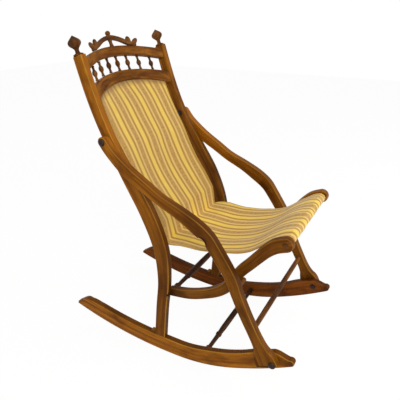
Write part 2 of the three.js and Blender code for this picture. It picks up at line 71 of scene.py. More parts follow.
# Side strips: where each starts, its reach, rise and width, and its places as shares of these
STILE_START = (0.023, 0.058)
STILE_SPAN = (0.235, 0.802, 0.046)
STILE_SHARES = [
    (0.09, -0.03, 0.76), (0.045, 0.124, 0.75), (0, 0.248, 0.79), (0.032, 0.373, 0.95),
    (0.194, 0.497, 1), (0.443, 0.621, 0.86), (0.681, 0.745, 0.68), (0.86, 0.87, 0.68),
    (1.03, 1.03, 0.64),
]
ARM_START = (-0.306, 0.109)
ARM_SPAN = (0.488, 0.539, 0.038)
ARM_SHARES = [
    (0, 0, 1.63), (0.02, 0.041, 1.52), (0.035, 0.066, 1.2), (0.049, 0.092, 0.9),
    (0.07, 0.128, 0.77), (0.093, 0.167, 0.74), (0.147, 0.262, 0.76), (0.192, 0.353, 0.79),
    (0.234, 0.443, 0.85), (0.328, 0.571, 0.9), (0.375, 0.622, 0.97), (0.445, 0.666, 0.98),
    (0.539, 0.712, 0.84), (0.648, 0.756, 0.77), (0.738, 0.805, 0.8), (0.851, 0.867, 0.86),
    (0.95, 0.944, 0.74), (1, 1, 0.74),
]
RAIL_START = (-0.316, 0.211)
RAIL_SPAN = (0.325, 0.242, 0.038)
RAIL_SHARES = [
    (0, 1, 1), (0.077, 0.955, 0.97), (0.142, 0.88, 0.87), (0.203, 0.785, 0.82),
    (0.271, 0.674, 0.79), (0.335, 0.574, 0.79), (0.382, 0.483, 0.79), (0.455, 0.32, 0.79),
    (0.542, 0.211, 0.79), (0.665, 0.12, 0.75), (0.825, 0.041, 0.76), (1, 0, 0.7),
]
EDGE_ROUND = 0.003
STRIP_STEPS = 110
CAP_STEPS = 7
ROUND_STEPS = 3
TRIM_STEPS = 900

# Rockers: arcs to both sides of the level place, each a radius and a count of the CAD's flats.
# The flats are a hair shorter than the CAD's, so that the finer arcs reach no further.
LEVEL_Y = -0.001
FLAT_LENGTH = 0.01757
FRONT_ARCS = [(0.520, 11), (1.150, 11)]
REAR_ARCS = [(1.150, 21)]
FINE_FLATS = 3
ROCKER_DEPTH = 0.051
NOSE_DEPTH_SHARES = [0.39, 0.94, 1.04, 0.99, 0.98, 1, 1, 0.97]
NOSE_SWELL = 0.16
NOSE_CUT = 1
TAIL_DEPTH_SHARES = [0.97, 1, 1, 1, 1, 1, 1, 0.98, 0.86, 0.16]
TAIL_SWELL = 0.2
CLEAT_Y = 0.070
CLEAT_LENGTH = 0.013
CLEAT_HEIGHT = 0.009
CLEAT_STEPS = 8
CLEAT_DROP_SHARE = 0.25
SMALL_ROUND = 0.0015

# Pivots and bars, as (y, z)
ARM_PIVOT = (0.182, 0.648)
LEG_PIVOT = (-0.320, 0.121)
SEAT_PIVOT = (0.009, 0.211)
FRONT_BAR = (-0.316, 0.453)
SLING_BAR = (0.041, 0.365)
FRONT_STRETCHER = (-0.259, 0.204)
ROCKER_STRETCHER = (-0.105, 0.036)

# Back gallery
GALLERY_PLACE = (0, 0.204, 0.700)
GALLERY_LEAN = math.radians(19.1)
BOW_DEPTH = 0.039
GALLERY_THICK = 0.018
GALLERY_ROUND = 0.0022
GALLERY_STEPS = 64
STILE_TOP = 0.167
CREST_HIGH = (0.155, 0.188)
CREST_LOW = (0.126, 0.160)
LOWER_HIGH = (0.083, 0.117)
LOWER_LOW = (0.047, 0.086)
SPINDLE_COUNT = 7
SPINDLE_RADIUS = 0.007
SPINDLE_SHARES = [
    (0, 0.66), (0.06, 0.68), (0.09, 0.48), (0.12, 0.44), (0.15, 0.6), (0.18, 0.46), (0.28, 0.52),
    (0.38, 0.84), (0.5, 1), (0.62, 0.84), (0.72, 0.52), (0.82, 0.46), (0.85, 0.6), (0.88, 0.44),
    (0.91, 0.48), (0.94, 0.68), (1, 0.66),
]
SPINDLE_END = 0.0048
FINIAL_HEIGHT = 0.0505
FINIAL_RADIUS = 0.017
FINIAL_SHARES = [
    (0, 0.78), (0.04, 0.8), (0.07, 0.74), (0.11, 0.44), (0.19, 0.33), (0.29, 0.34), (0.34, 0.42),
    (0.39, 0.54), (0.5, 0.86), (0.6, 1), (0.67, 0.985), (0.75, 0.84), (0.84, 0.56), (0.92, 0.27),
    (0.97, 0.1), (1, 0),
]
CREST_THICK = 0.013
CREST_BAND = 0.011
CREST_HALF = 0.092
CREST_FOOT = 0.183
CREST_RISE = 0.031
CREST_SHARES = [
    (-1, 0.03, 1.1), (-0.74, 0.34, 1.1), (-0.38, 0.8, 1.1), (0, 1, 1.2), (0.38, 0.8, 1.1),
    (0.74, 0.34, 1.1), (1, 0.03, 1.1),
]
LOBES = [
    ((0.075, 0.200), (0.0076, 0.0068, 0.0125), math.radians(-6)),
    ((0.097, 0.193), (0.0074, 0.0068, 0.0140), math.radians(50)),
]
CARVE_VOXEL = 0.0011
CARVE_SMOOTH = 6
CREST_POST_RADIUS = 0.006
POST_SHARES = [(0, 1), (0.16, 1.05), (0.26, 0.86), (0.5, 0.82), (0.74, 0.86), (0.84, 1), (1, 1)]
CREST_BALL_RADIUS = 0.0075
CREST_BALL_HEIGHT = 0.0136
BALL_SHARES = [
    (0, 0.6), (0.1, 0.74), (0.3, 0.96), (0.5, 1), (0.7, 0.93), (0.88, 0.62), (0.97, 0.3), (1, 0),
]

# Turned rods and pegs
FINE_SIDES = 40
PROFILE_STEPS = 5
TENON_RADIUS = 0.006
PLAIN_SHARES = [(0, 1), (0.35, 1), (0.7, 0.97), (0.97, 0.9), (1, 0.84)]
TURNED_SHARES = [
    (0, 1), (0.3, 0.98), (0.44, 0.84), (0.47, 0.82), (0.485, 1.02), (0.515, 1.02), (0.53, 0.8),
    (0.66, 0.72), (0.8, 0.68), (0.855, 0.74), (0.875, 1.03), (0.9, 1.05), (0.925, 1.03),
    (0.945, 0.72), (1, 0.78),
]
ROCKER_STRETCHER_RADIUS = 0.009
FRONT_STRETCHER_RADIUS = 0.0075
SEAT_ROD_RADIUS = 0.009
SEAT_PIN_RADIUS = 0.005
SEAT_PIN_REACH = 0.014
PEG_RADIUS = 0.006
PEG_END_SHARES = (0.5, 0.9)
PEG_PLACE_SHARE = 0.55
TENON_DEPTH = 0.013

# Pivot pins and washers
PIN_RADIUS = 0.004
PIN_HEAD_RADIUS = 0.010
PIN_HEAD_HEIGHT = 0.006
PIN_TAIL_RADIUS = 0.006
PIN_TAIL_HEIGHT = 0.0025
DOME_SHARES = [
    (0, 0.92), (0.06, 0.99), (0.16, 1), (0.4, 0.94), (0.62, 0.8), (0.8, 0.6), (0.93, 0.34), (1, 0),
]
WASHER_RADIUS = 0.009
WASHER_THICK = 0.002
WASHER_ROUND = 0.0004

# Scoop in the outer face of each arm, and notch at the front of each stile
SCOOP_SHARE = 0.585
SCOOP_SIZE = (0.010, 0.016, 0.016)
NOTCH_RADIUS = SEAT_PIN_RADIUS + SEAT_GAP
NOTCH_REACH = 0.03

# Striped cloth: one sling down the back, over the seat and round the front bar
CLOTH_THICK = 0.0016
HEM_THICK = 0.0009
HEM_WIDTH = 0.012
CLOTH_SPACE = 0.003
BACK_LEFT_HALVES = [0.158, 0.155, 0.151, 0.148, 0.146]
BACK_RIGHT_HALVES = [0.160, 0.166, 0.169, 0.168, 0.162]
SEAT_PLACES = [-0.24, -0.12, -0.04, 0.0, 0.018, 0.028, 0.034]
SEAT_LEFT_HALVES = [0.154, 0.157, 0.162, 0.167, 0.166, 0.156, 0.146]
SEAT_RIGHT_HALVES = [0.154, 0.157, 0.163, 0.169, 0.169, 0.166, 0.162]
LIFT_PLACES = [-0.31, -0.27, -0.22, -0.16, -0.10, -0.02, 0.03]
EDGE_LIFTS = [0, -0.006, -0.004, 0.005, 0.009, 0.008, 0]
CLOTH_COLUMNS = 72
BACK_ROWS = 90
SEAT_ROWS = 84
BACK_EDGE_SAG = [0, 0.004, 0.005, 0.004, 0.0065, 0.006, 0.001, 0]
BACK_MIDDLE_SAG = [0, -0.008, -0.006, -0.003, 0.009, 0.018, 0.017, 0.010]
RIGHT_SAG = 0.006
CLOTH_BEHIND = 0.003
KNEE_RISE = 0.057
KNEE_BEHIND = 0.008
KNEE_SHARE = 0.86
SEAT_CLOTH_SHARES = [
    (0, 0), (0.12, -0.02), (0.21, -0.04), (0.32, -0.05), (0.44, 0.01), (0.55, 0.115),
    (0.645, 0.245), (0.74, 0.45), (0.85, 0.77), (0.935, 0.94),
]
SLING_BAR_RADIUS = 0.007
SEAT_BAR_RADIUS = 0.011
SEAT_BAR_TENON = 0.0085
WRAP_START = math.radians(75)
WRAP_TURN = math.radians(250)
WRAP_STEPS = 11
SEAT_OPEN_SHARE = 0.5
RIPPLE = 0.0011
RIPPLE_WAVES = [(1, 9, 4, 0), (0.6, 17, -11, 1)]

SMOOTH_ANGLE = math.radians(38)
WELD = 1e-6
NUDGE = 1e-4
MITRE_LIMIT = 0.4
GRAIN_SHIFT = 0.731
BYTE = 255


# Curves

def spline(points, share):
    """The point at a share of the curve through the given points, evenly paced from each to the next."""
    points = np.asarray(points, float)
    last = len(points) - 1
    place = min(max(share, 0.0), 1.0) * last
    i = min(int(place), last - 1)
    w = place - i
    before, a, b, after = points[max(i - 1, 0)], points[i], points[i + 1], points[min(i + 2, last)]
    leave, arrive = (b - before) / 2, (after - a) / 2
    cubic = 2 * a - 2 * b + leave + arrive
    square = 3 * b - 3 * a - 2 * leave - arrive
    return ((cubic * w + square) * w + leave) * w + a


def unit(vectors):
    """The same directions, each one unit long."""
    return vectors / np.linalg.norm(vectors, axis=-1, keepdims=True)


def smooth_profile(profile):
    """A lathe profile of (length, radius) with points added on curves that keep its beads and hollows."""
    along, wide = np.array(profile, float).T
    chords = np.diff(wide) / np.maximum(np.diff(along), WELD)
    slopes = np.zeros(len(wide))
    for i in range(1, len(wide) - 1):
        if chords[i - 1] * chords[i] > 0:
            slopes[i] = 2 * chords[i - 1] * chords[i] / (chords[i - 1] + chords[i])
    points = [(along[0], wide[0])]
    for i, length in enumerate(np.diff(along)):
        if length < WELD:
            points.append((along[i + 1], wide[i + 1]))
            continue
        for k in range(1, PROFILE_STEPS + 1):
            w = k / PROFILE_STEPS
            pull = slopes[i] * (1 - w) - slopes[i + 1] * w + chords[i] * (2 * w - 1)
            bend = pull * length * w * (1 - w)
            points.append((along[i] + w * length, wide[i] + (wide[i + 1] - wide[i]) * w + bend))
    return points


def strip(shares, start, span, steps=STRIP_STEPS):
    """The left edge, middle line and right edge of a strip of changing width in the side view."""
    places = [(start[0] + a * span[0], start[1] + b * span[1], wide * span[2]) for a, b, wide in shares]
    paces = np.linspace(0, 1, steps + 1)
    moves = (0, NUDGE, -NUDGE)
    rows, ahead, behind = (np.array([spline(places, pace + move) for pace in paces]) for move in moves)
    along = unit((ahead - behind)[:, :2])
    across = np.stack([-along[:, 1], along[:, 0]], 1) * rows[:, 2:] / 2
    return rows[:, :2] + across, rows[:, :2], rows[:, :2] - across


def rounded_end(left, right, side):
    """Both edges of a strip carried round one end in a half circle: side 1 is the far end, -1 the start."""
    end = -1 if side > 0 else 0
    centre = (left[end] + right[end]) / 2
    spoke = (left[end] - right[end]) / 2
    onward = side * np.array([spoke[1], -spoke[0]])
    turns = [(k + 0.5) / CAP_STEPS * math.pi / 2 for k in range(CAP_STEPS)]
    edges = []
    for edge, way in ((left, spoke), (right, -spoke)):
        more = [centre + way * math.cos(turn) + onward * math.sin(turn) for turn in turns]
        edges.append(np.vstack([edge, more] if side > 0 else [more[::-1], edge]))
    return edges


def trimmed(edge, height):
    """The evenly spaced middle run of an edge: height(point) is above zero there, and not at the ends."""
    values = np.array([height(point) for point in edge])
    first, last = np.flatnonzero(values > 0)[[0, -1]]
    start = first - values[first] / (values[first] - values[first - 1])
    end = last + values[last] / (values[last] - values[last + 1])
    places = np.linspace(start, end, STRIP_STEPS + 1)
    indices = np.arange(len(edge))
    return np.stack([np.interp(places, indices, edge[:, k]) for k in (0, 1)], 1)


# Meshes

def link_object(name, data):
    obj = bpy.data.objects.new(name, data)
    bpy.context.scene.collection.objects.link(obj)
    return obj


def make_object(name, verts, faces):
    mesh = bpy.data.meshes.new(name)
    mesh.from_pydata([tuple(map(float, vert)) for vert in verts], [], faces)
    bm = bmesh.new()
    bm.from_mesh(mesh)
    bmesh.ops.remove_doubles(bm, verts=bm.verts, dist=WELD)
    bmesh.ops.recalc_face_normals(bm, faces=bm.faces)
    if bm.calc_volume(signed=True) < 0:
        bmesh.ops.reverse_faces(bm, faces=bm.faces)
    bm.to_mesh(mesh)
    bm.free()
    return link_object(name, mesh)


def coordinates(obj):
    return np.array([vert.co for vert in obj.data.vertices], float).reshape(-1, 3)


def apply_modifiers(obj):
    graph = bpy.context.evaluated_depsgraph_get()
    mesh = bpy.data.meshes.new_from_object(obj.evaluated_get(graph))
    obj.modifiers.clear()
    obj.data = mesh


def boolean(obj, other, operation):
    step = obj.modifiers.new(operation.lower(), "BOOLEAN")
    step.operation = operation
    step.solver = "EXACT"
    step.object = other
    apply_modifiers(obj)
    bpy.data.objects.remove(other)


def inset_outline(outline, inset):
    """A closed outline moved inward by the same distance all round."""
    ahead = unit(np.roll(outline, -1, axis=0) - outline)
    inward = np.stack([ahead[:, 1], -ahead[:, 0]], 1)
    before = np.roll(inward, 1, axis=0)
    share = np.maximum(1 + (before * inward).sum(1), MITRE_LIMIT)[:, None]
    return outline + inset * (before + inward) / share


def edge_layers(thick, rounding):
    """How far in and how deep each layer of a board with rounded edges lies."""
    turns = [math.pi / 2 * k / ROUND_STEPS for k in range(ROUND_STEPS + 1)]
    near = [(rounding * (1 - math.sin(turn)), rounding * (1 - math.cos(turn))) for turn in turns]
    return near + [(inset, thick - depth) for inset, depth in reversed(near)]


def ring_faces(rings, ring):
    """Faces of a tube of rings with the same number of corners, and last its two end faces."""
    faces = []
    for i in range(rings - 1):
        for k in range(ring):
            a, b = i * ring + k, i * ring + (k + 1) % ring
            faces.append((a, b, b + ring, a + ring))
    last = (rings - 1) * ring
    return faces + [tuple(range(ring)), tuple(range(last, last + ring))]


def board_mesh(left, right, thick, rounding=EDGE_ROUND):
    """A board between two edges in its own view: vertices (depth, y, z) and faces.

    Strips from edge to edge stand for its two end faces, so that they bend with the board.
    """
    outline = np.vstack([left, right[::-1]])
    layers = edge_layers(thick, rounding)
    verts = [(depth, *point) for inset, depth in layers for point in inset_outline(outline, inset)]
    around, half = len(outline), len(left)
    faces = ring_faces(len(layers), around)[:-2]
    for base in (0, (len(layers) - 1) * around):
        for j in range(half - 1):
            faces.append((base + j, base + j + 1, base + around - 2 - j, base + around - 1 - j))
    return np.array(verts), faces


def turned_mesh(profile):
    """A piece turned on the lathe along +Z from a profile of lengths and radii, closed at both ends."""
    turns = [math.tau * k / FINE_SIDES for k in range(FINE_SIDES)]
    verts = []
    for along, wide in profile:
        radius = max(wide, WELD)
        verts += [(radius * math.cos(turn), radius * math.sin(turn), along) for turn in turns]
    return np.array(verts), ring_faces(len(profile), FINE_SIDES)


def ball_mesh():
    """A ball of radius 1."""
    return turned_mesh([(-math.cos(turn), math.sin(turn)) for turn in np.linspace(0, math.pi, FINE_SIDES)])


def placed(verts, matrix):
    return np.array([matrix @ Vector(vert) for vert in verts])


# Grain: each wooden vertex knows how far it lies along, across and into its piece
pieces_made = []
# Painted highlights lie on a board's rounded edges, between these shares of the rounding's depth from a face
HIGHLIGHT_FROM = 0.1
HIGHLIGHT_TO = 0.6


def set_attribute(obj, name, values):
    """Gives each vertex a number, or a vector of three."""
    values = np.asarray(values, np.float32)
    kind, part = ("FLOAT", "value") if values.ndim == 1 else ("FLOAT_VECTOR", "vector")
    obj.data.attributes.new(name, kind, "POINT").data.foreach_set(part, values.ravel())


def set_grain(obj, values):
    """Keeps the grain's places with the piece, shifted so that no two pieces show the same wood."""
    shift = GRAIN_SHIFT * len(pieces_made)
    set_attribute(obj, "grain", np.asarray(values) + np.array([shift, shift / 2, 0]))


def edge_highlight(points, inner, thick):
    """1 on the rounded edges of a board, where a highlight is painted, and 0 elsewhere."""
    depth = np.abs(points[:, 0]) - inner
    from_face = np.minimum(depth, thick - depth) / EDGE_ROUND
    return (from_face > HIGHLIGHT_FROM) & (from_face < HIGHLIGHT_TO)


def strip_grain(obj, middle, inner):
    """Grain that runs along a bent strip: length, place across it and depth from its inner face."""
    points = coordinates(obj)
    lengths = np.concatenate([[0], np.cumsum(np.linalg.norm(np.diff(middle, axis=0), axis=1))])
    along = unit(np.gradient(middle, axis=0))
    side = points[:, 1:]
    nearest = ((side[:, None, :] - middle[None, :, :]) ** 2).sum(2).argmin(1)
    offset = side - middle[nearest]
    heading = along[nearest]
    onward = (offset * heading).sum(1)
    across = offset[:, 1] * heading[:, 0] - offset[:, 0] * heading[:, 1]
    set_grain(obj, np.stack([lengths[nearest] + onward, across, np.abs(points[:, 0]) - inner], 1))


def axis_grain(obj, axis):
    """Grain of a straight piece along one of its axes."""
    points = coordinates(obj)
    middle = points.mean(0)
    others = [k for k in range(3) if k != axis]
    set_grain(obj, np.stack([points[:, axis], *(points[:, k] - middle[k] for k in others)], 1))


def cover(obj, material):
    """A material, and smooth shading with crisp corners."""
    mesh = obj.data
    mesh.polygons.foreach_set("use_smooth", [True] * len(mesh.polygons))
    mesh.set_sharp_from_angle(angle=SMOOTH_ANGLE)
    mesh.materials.clear()
    mesh.materials.append(material)


def finish_piece(obj, node, look):
    """The look of a rigid piece, and a ride on the body of its CAD node."""
    cover(obj, materials[look])
    obj.modifiers.new("flat_faces", "WEIGHTED_NORMAL").keep_sharp = True
    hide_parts(node)
    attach(obj, body_of_node[node])
    pieces_made.append(obj)


# Materials

def connect(tree, socket, value):
    """Links a socket to another node's output, or gives it a value, or a colour of three parts."""
    if isinstance(value, bpy.types.NodeSocket):
        tree.links.new(value, socket)
    elif socket.type == "RGBA":
        socket.default_value = (*value, 1)
    else:
        socket.default_value = value


def build(tree, kind, settings=None, **inputs):
    """A shader node with its settings, and inputs that are values or other nodes' outputs."""
    made = tree.nodes.new(kind)
    for key, value in (settings or {}).items():
        setattr(made, key, value)
    for key, value in inputs.items():
        connect(tree, made.inputs[key], value)
    return made


def ramp(tree, factor, stops):
    """Colours that run from one (place, colour) stop to the next."""
    made = build(tree, "ShaderNodeValToRGB", Fac=factor)
    elements = made.color_ramp.elements
    for element, (place, colour) in zip(elements, (stops[0], stops[-1])):
        element.position, element.color = place, (*colour, 1)
    for place, colour in stops[1:-1]:
        elements.new(place).color = (*colour, 1)
    return made.outputs["Color"]


def linear(*colour):
    """A colour as the photograph shows it, 0 to 255, in the renderer's linear light."""
    return tuple(Color([part / BYTE for part in colour]).from_srgb_to_scene_linear())


def stretched_noise(tree, vector, scales, detail, roughness=0.5, distortion=0.0):
    """Noise whose coordinates are stretched along, across and into the piece."""
    mapped = build(tree, "ShaderNodeMapping", Vector=vector, Scale=scales).outputs["Vector"]
    settings = {"Detail": detail, "Roughness": roughness, "Distortion": distortion}
    return build(tree, "ShaderNodeTexNoise", Vector=mapped, Scale=1.0, **settings).outputs["Fac"]


# Where the mix node keeps its factor and two colours among its inputs, and its colour among its outputs
MIX_INPUTS = (0, 6, 7)
MIX_OUTPUT = 2


def mix_colours(tree, *values):
    """From the first colour to the second, by a share, given as (share, first, second)."""
    made = build(tree, "ShaderNodeMix", {"data_type": "RGBA"})
    for place, value in zip(MIX_INPUTS, values):
        connect(tree, made.inputs[place], value)
    return made.outputs[MIX_OUTPUT]


def layered(tree, colour, layers):
    """A colour with each (share, other colour) mixed over it in turn."""
    for share, other in layers:
        colour = mix_colours(tree, share, colour, other)
    return colour


def calculate(tree, operation, *values):
    made = build(tree, "ShaderNodeMath", {"operation": operation})
    for socket, value in zip(made.inputs, values):
        connect(tree, socket, value)
    return made.outputs[0]


def times(tree, first, second):
    return calculate(tree, "MULTIPLY", first, second)


def remap(tree, value, low, high, to_low=0.0, to_high=1.0):
    """Runs evenly from to_low to to_high while the value goes from low to high, and stops there."""
    names = {"Value": value, "From Min": low, "From Max": high, "To Min": to_low, "To Max": to_high}
    return build(tree, "ShaderNodeMapRange", **names).outputs["Result"]


def attribute_of(tree, name, output):
    return build(tree, "ShaderNodeAttribute", {"attribute_name": name}).outputs[output]


def new_material(name):
    made = bpy.data.materials.new(name)
    made.use_nodes = True
    return made, made.node_tree, made.node_tree.nodes["Principled BSDF"]


def set_surface(tree, shader, **values):
    for key, value in values.items():
        connect(tree, shader.inputs[key.replace("_", " ")], value)


# Wood: each noise as (scales along, across and into the piece, detail, roughness, distortion), and
# each fade as (from, to) in the noise, then (from, to) in the share of the colour that it mixes in
FIGURE_NOISE = ((2.2, 62, 40), 3, 0.55, 0.5)
FIGURE_STOPS = (0.3, 0.47, 0.56, 0.68)
BROAD_NOISE = ((5, 14, 14), 2)
BROAD_FADE = (0.35, 0.7, 0.0, 0.55)
FIBRE_NOISE = ((16, 700, 700), 2, 0.6)
FIBRE_FADE = (0.35, 0.75, 0.0, 0.42)
PORE_NOISE = ((70, 1500, 1500), 1)
PORE_FADE = (0.66, 0.74, 0.0, 0.5)
PORE_HEIGHT = -0.6
PATCH_NOISE = ((9, 22, 22), 3, 0.6)
PATCH_FADE = (0.46, 0.68, 0.0, 0.8)
# How much painted highlight the broad noise lets through on the rounded edges
HIGHLIGHT_FADE = (0.35, 0.65, 0.0, 0.38)
WOOD_BUMP = {"Strength": 0.12, "Distance": 0.0004}
WOOD_FINISH = {"Specular_IOR_Level": 0.04, "Coat_Weight": 0.02, "Coat_Roughness": 0.25}
GLOSS_RANGE = (0.3, 0.75)
GLOSS_LOSS = 0.16


def wood_material(name, colours, roughness):
    """Varnished wood: broad figure, fibres, pores, darker patches of handling, painted shade and painted edge
    highlights.
    """
    deep, dark, middle, light, pale = (linear(*colour) for colour in colours)
    material, tree, shader = new_material(name)
    grain = attribute_of(tree, "grain", "Vector")
    noises = (FIGURE_NOISE, BROAD_NOISE, FIBRE_NOISE, PORE_NOISE, PATCH_NOISE)
    figure, broad, fibres, pores, patches = (stretched_noise(tree, grain, *noise) for noise in noises)
    tone = ramp(tree, figure, list(zip(FIGURE_STOPS, (dark, middle, light, middle))))
    # Painted highlight along the rounded edges, broken up by the broad noise
    highlight_share = times(tree, attribute_of(tree, "painted_highlight", "Fac"), remap(tree, broad, *HIGHLIGHT_FADE))
    layers = [
        (remap(tree, broad, *BROAD_FADE), middle),
        (remap(tree, fibres, *FIBRE_FADE), dark),
        (remap(tree, pores, *PORE_FADE), dark),
        (remap(tree, patches, *PATCH_FADE), dark),
        (attribute_of(tree, "shade", "Fac"), deep),
        (highlight_share, pale),
    ]
    height = calculate(tree, "ADD", fibres, times(tree, pores, PORE_HEIGHT))
    bump = build(tree, "ShaderNodeBump", Height=height, **WOOD_BUMP)
    set_surface(
        tree,
        shader,
        Base_Color=layered(tree, tone, layers),
        Roughness=remap(tree, patches, *GLOSS_RANGE, roughness, roughness + GLOSS_LOSS),
        Normal=bump.outputs["Normal"],
        **WOOD_FINISH,
    )
    return material


# Colours of each wood: deep for painted shade and other darkening, then dark, middling, light, and pale for
# painted edge highlights, and its roughness
WOODS = {
    "gold": ([(50, 24, 3), (84, 44, 6), (136, 80, 14), (166, 103, 22), (200, 149, 56)], 0.36),
    "brown": ([(40, 19, 2), (70, 35, 4), (119, 70, 12), (144, 90, 22), (178, 128, 54)], 0.38),
    "red": ([(40, 18, 3), (66, 30, 5), (106, 55, 10), (126, 69, 16), (150, 99, 46)], 0.38),
    "dark": ([(30, 15, 7), (50, 27, 11), (94, 56, 22), (124, 80, 36), (150, 104, 56)], 0.4),
    "black": ([(20, 10, 6), (34, 18, 10), (58, 34, 18), (84, 54, 30), (110, 76, 46)], 0.4),
}
materials = {name: wood_material(f"wood_{name}", *look) for name, look in WOODS.items()}

IRON_DARK = linear(38, 26, 22)
IRON_RUST = linear(74, 46, 32)
IRON_NOISE = ((420, 420, 420), 4, 0.6)
RUST_FADE = (0.45, 0.7)
IRON_GLOSS_FADE = (0.3, 0.7, 0.38, 0.62)
IRON_METALLIC = 0.7
IRON_BUMP = {"Strength": 0.25, "Distance": 0.0003}


def iron_material():
    """Old dark iron with a little rust."""
    material, tree, shader = new_material("iron")
    place = build(tree, "ShaderNodeTexCoord").outputs["Object"]
    mottle = stretched_noise(tree, place, *IRON_NOISE)
    bump = build(tree, "ShaderNodeBump", Height=mottle, **IRON_BUMP)
    set_surface(
        tree,
        shader,
        Base_Color=mix_colours(tree, remap(tree, mottle, *RUST_FADE), IRON_DARK, IRON_RUST),
        Metallic=IRON_METALLIC,
        Roughness=remap(tree, mottle, *IRON_GLOSS_FADE),
        Normal=bump.outputs["Normal"],
    )
    return material


materials["iron"] = iron_material()

# Stripes of the cloth, as shares of the way from the middle of a yellow stripe to the middle of a tan one
STRIPE_PERIOD = 0.068
STRIPE_SHIFT = 0.018
YELLOW = linear(238, 200, 76)
OLIVE = linear(166, 125, 26)
CREAM = linear(228, 190, 106)
TAN = linear(192, 151, 72)
# Brown of the brocade flecks, also mixed in as painted shade under the lower rail and down the back
FLECK_AND_SHADE_BROWN = linear(112, 76, 34)
STRIPE_STOPS = [
    (0.0, YELLOW), (0.19, YELLOW), (0.28, OLIVE), (0.44, OLIVE), (0.53, CREAM), (0.69, CREAM),
    (0.78, TAN), (1.0, TAN),
]

# Weave: noises and fades as for the wood, with lengths in metres where a fade runs over the cloth
WANDER_NOISE = ((9, 6, 0), 2)
WANDER_FADE = (0.3, 0.7, -0.0012, 0.0012)
FLECK_NOISE = ((24, 150, 0), 2, 0.6)
FLECK_FADE = (0.52, 0.6)
FLECK_BAND_FADE = (0.72, 0.8)
FLECK_SHARE = 0.8
# Painted shade along the cloth's side edges
EDGE_SHADE_FADE = (0.0042, 0.006, 0.8, 0.0)
# Painted shade on the cloth just under the lower back rail
TOP_SHADE_FADE = (0.004, 0.022, 0.75, 0.0)
BACK_SHADE_FADE = (0.41, 0.47, 0.3, 0.04)
SLUB_NOISE = ((900, 90, 0), 2, 0.6)
SLUB_FADE = (0.35, 0.75, 0.0, 0.25)
SOIL_NOISE = ((14, 11, 0), 3, 0.55)
SOIL_FADE = (0.5, 0.8, 0.0, 0.3)
SATIN_FADE = (0.28, 0.4, 0.62, 0.86)
THREAD = 0.0011
THREAD_HEIGHT = 0.5
CLOTH_BUMP = {"Strength": 0.3, "Distance": 0.0003}
CLOTH_FINISH = {"Sheen_Weight": 0.15, "Sheen_Roughness": 0.5}


def cloth_material():
    """Woven stripes: satin yellow between olive lines, and tan bands with a brown brocade figure, with
    painted shade at the side edges, under the lower rail and down the back.
    """
    material, tree, shader = new_material("striped_cloth")
    weave = attribute_of(tree, "weave", "Vector")
    parts = build(tree, "ShaderNodeSeparateXYZ", Vector=weave)
    across, down, from_edge = parts.outputs["X"], parts.outputs["Y"], parts.outputs["Z"]
    wander = remap(tree, stretched_noise(tree, weave, *WANDER_NOISE), *WANDER_FADE)
    drifted = calculate(tree, "ADD", across, wander)
    turns = calculate(tree, "MULTIPLY_ADD", drifted, 1 / STRIPE_PERIOD, 0.5 - STRIPE_SHIFT / STRIPE_PERIOD)
    share = calculate(tree, "ABSOLUTE", calculate(tree, "SUBTRACT", calculate(tree, "FRACT", turns), 0.5))
    from_yellow = times(tree, share, 2.0)
    stripes = ramp(tree, from_yellow, STRIPE_STOPS)
    mirrored = build(tree, "ShaderNodeCombineXYZ", X=from_yellow, Y=down).outputs["Vector"]
    figure = remap(tree, stretched_noise(tree, mirrored, *FLECK_NOISE), *FLECK_FADE)
    band = times(tree, remap(tree, from_yellow, *FLECK_BAND_FADE), figure)
    warp = calculate(tree, "SINE", times(tree, across, math.tau / THREAD))
    weft = calculate(tree, "SINE", times(tree, down, math.tau / THREAD))
    threads = times(tree, warp, weft)
    slubs = stretched_noise(tree, weave, *SLUB_NOISE)
    soiling = stretched_noise(tree, weave, *SOIL_NOISE)
    layers = [
        (times(tree, band, FLECK_SHARE), FLECK_AND_SHADE_BROWN),
        # Painted shade along the side edges
        (remap(tree, from_edge, *EDGE_SHADE_FADE), OLIVE),
        # Painted shade just under the lower back rail
        (remap(tree, down, *TOP_SHADE_FADE), FLECK_AND_SHADE_BROWN),
        (remap(tree, slubs, *SLUB_FADE), OLIVE),
        (remap(tree, soiling, *SOIL_FADE), TAN),
        (remap(tree, down, *BACK_SHADE_FADE), FLECK_AND_SHADE_BROWN),
    ]
    relief = calculate(tree, "ADD", times(tree, threads, THREAD_HEIGHT), slubs)
    bump = build(tree, "ShaderNodeBump", Height=relief, **CLOTH_BUMP)
    set_surface(
        tree,
        shader,
        Base_Color=layered(tree, stripes, layers),
        Roughness=remap(tree, from_yellow, *SATIN_FADE),
        Normal=bump.outputs["Normal"],
        **CLOTH_FINISH,
    )
    return material


striped_cloth = cloth_material()


# Side pieces

# Shade: the share of the deep colour mixed in where a piece is darker: painted shade on the stiles, arms and
# seat rails, and a darker top edge and tip on the rockers
ROCKER_SHADE = 0.55
INNER_SHADE = 0.4
FRONT_SHADE = 0.8
OUTER_SHADE = 0.5
FRONT_INSET_SHARE = 0.9
SHADE_REACH_SHARE = 0.5
LEG_SHADE = 0.5
SCOOP_SHADE = 0.4
RAIL_SHADE = 0.3
RAIL_END_SHADE = 0.5
RAIL_END_LENGTH = 0.05


